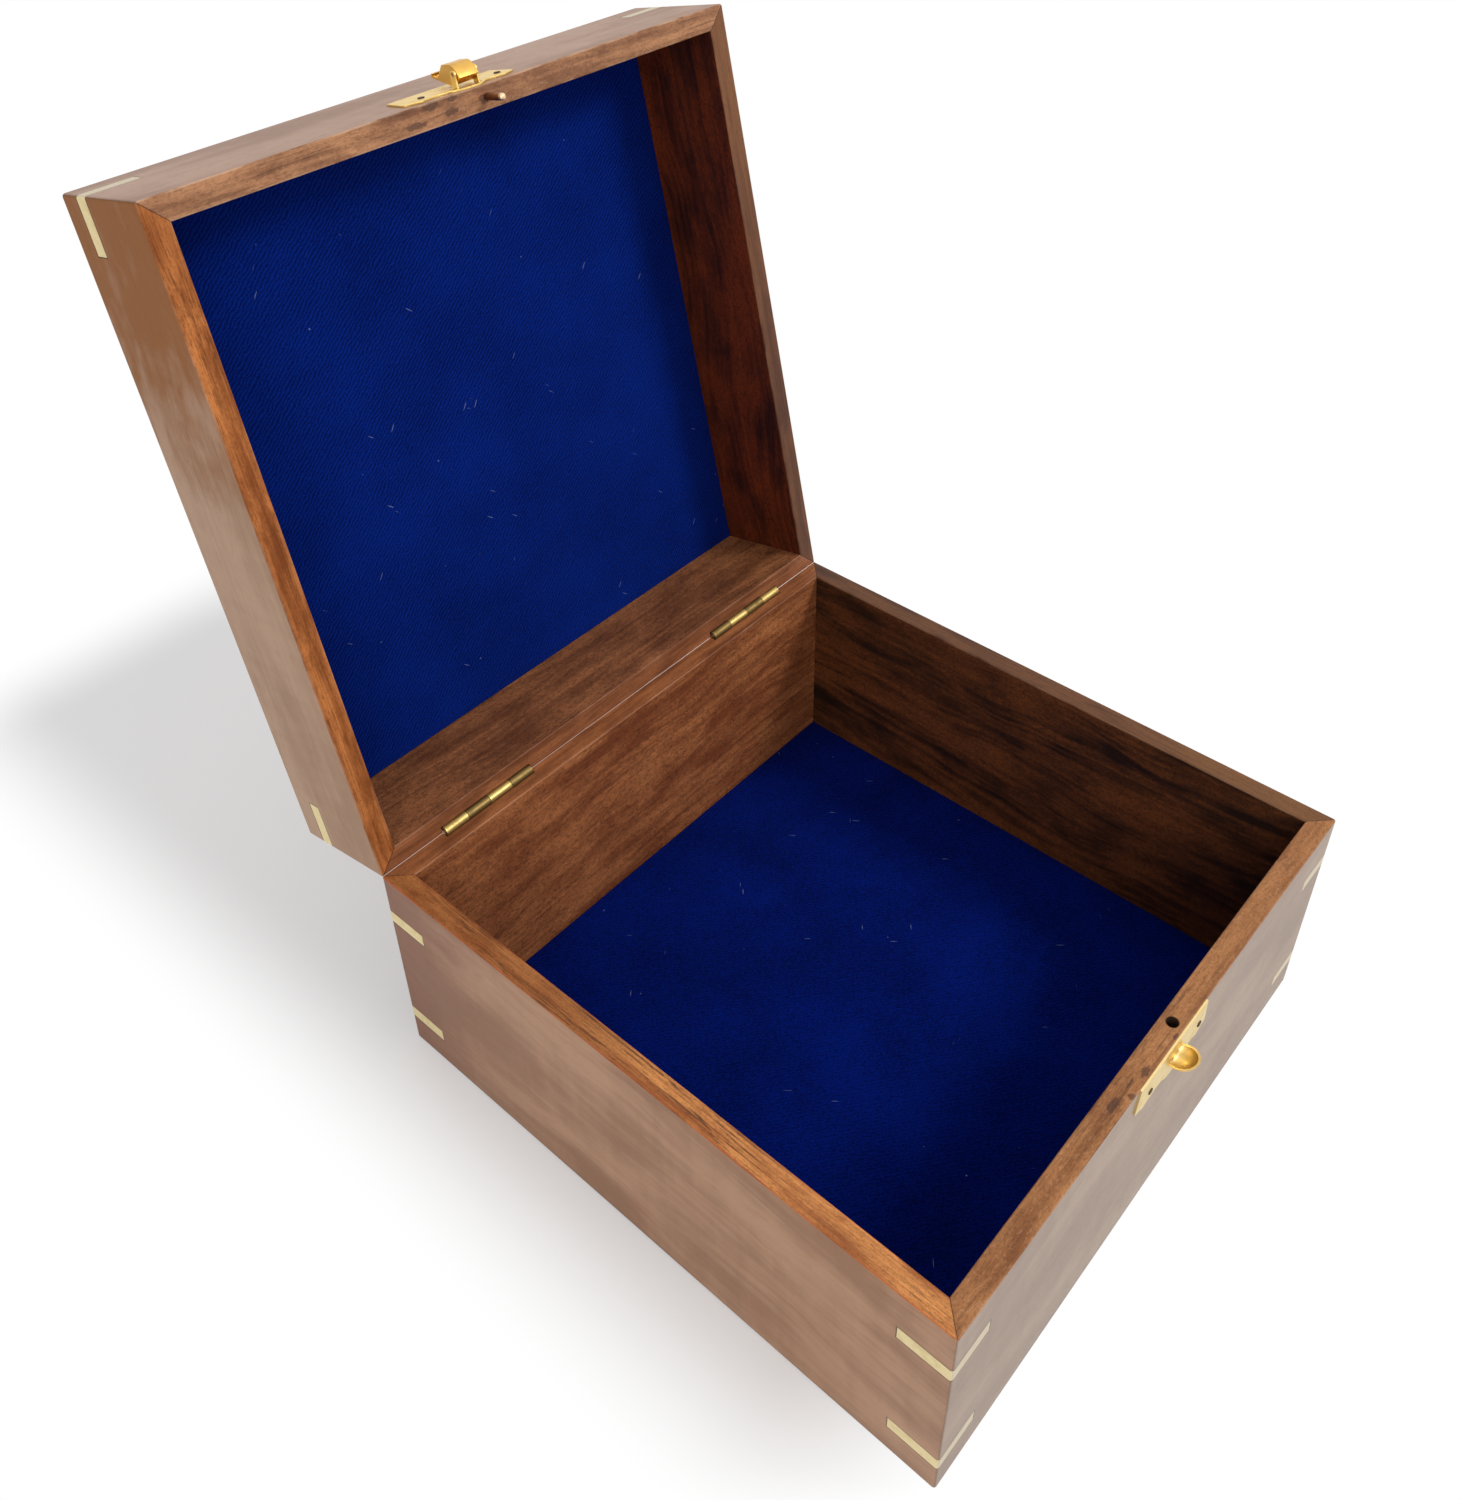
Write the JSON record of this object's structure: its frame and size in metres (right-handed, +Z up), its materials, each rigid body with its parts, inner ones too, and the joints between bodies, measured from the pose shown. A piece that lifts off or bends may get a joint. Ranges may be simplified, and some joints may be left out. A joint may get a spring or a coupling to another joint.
{
  "type": "sextant box",
  "caption": "Square hinged hardwood case for a sextant, lid thrown open: mitred walls, felt linings, corner inlays, butt hinges, and a hasp with a stamped catch.",
  "frame": {"origin": "centre of the underside of the base, on the surface it stands on", "axes": "+X to the right along the hinge, seen from the front; +Y from the front with the latch to the back with the hinges; +Z up"},
  "size_m": [0.1778, 0.254, 0.2457],
  "materials": {
    "wood_base_front": "open-pored, rubbed with wax",
    "wood_base_back": "open-pored, rubbed with wax",
    "wood_base_left": "open-pored, rubbed with wax",
    "wood_base_right": "open-pored, rubbed with wax",
    "wood_bottom_panel": "thin board, matt",
    "felt_base": "short-napped felt",
    "brass_inlay": "filed flush, dull",
    "brass_hinge": "rolled sheet, satin",
    "brass_nail": "dulled",
    "brass_latch": "stamped sheet, bright",
    "plate_nail": "dulled, domed",
    "wood_lid_front": "open-pored, rubbed with wax",
    "wood_lid_back": "open-pored, rubbed with wax",
    "wood_lid_left": "open-pored, rubbed with wax",
    "wood_lid_right": "open-pored, rubbed with wax",
    "wood_top_panel": "thin board, rubbed with wax",
    "felt_lid": "short-napped felt",
    "brass_pin": "drawn wire"
  },
  "bodies": {
    "base": {"base_front_wall": "wood_base_front", "base_back_wall": "wood_base_back", "base_left_wall": "wood_base_left", "base_right_wall": "wood_base_right", "base_bottom_panel": "wood_bottom_panel", "base_felt_lining": "felt_base", "base_inlay_front_left_upper": "brass_inlay", "base_inlay_front_left_lower": "brass_inlay", "base_inlay_front_right_upper": "brass_inlay", "base_inlay_front_right_lower": "brass_inlay", "base_inlay_back_left_upper": "brass_inlay", "base_inlay_back_left_lower": "brass_inlay", "base_inlay_back_right_upper": "brass_inlay", "base_inlay_back_right_lower": "brass_inlay", "base_hinge_leaf_left": "brass_hinge", "hinge_pin_left": "brass_hinge", "base_hinge_leaf_right": "brass_hinge", "hinge_pin_right": "brass_hinge", "base_hinge_nails": "brass_nail", "catch_plate": "brass_latch", "catch_plate_nails": "plate_nail"},
    "lid": {"lid_front_wall": "wood_lid_front", "lid_back_wall": "wood_lid_back", "lid_left_wall": "wood_lid_left", "lid_right_wall": "wood_lid_right", "lid_top_panel": "wood_top_panel", "lid_felt_lining": "felt_lid", "lid_inlay_front_left": "brass_inlay", "lid_inlay_front_right": "brass_inlay", "lid_inlay_back_left": "brass_inlay", "lid_inlay_back_right": "brass_inlay", "lid_hinge_leaf_left": "brass_hinge", "lid_hinge_leaf_right": "brass_hinge", "lid_hinge_nails": "brass_nail", "hasp_plate": "brass_latch", "hasp_plate_nails": "plate_nail", "hasp_pin": "brass_pin", "locating_pin": "brass_pin"},
    "hasp": {"hasp_flap": "brass_latch"}
  },
  "joints": [
    {"name": "lid_hinge", "type": "hinge", "parent": "base", "child": "lid", "pos_m": [0, 0.0884, 0.06705], "axis": [1, 0, 0], "range_deg": [0, 102]},
    {"name": "hasp_pivot", "type": "hinge", "parent": "lid", "child": "hasp", "pos_m": [0, 0.12862, 0.24354], "axis": [1, 0, 0], "range_deg": [0, 165]}
  ]
}
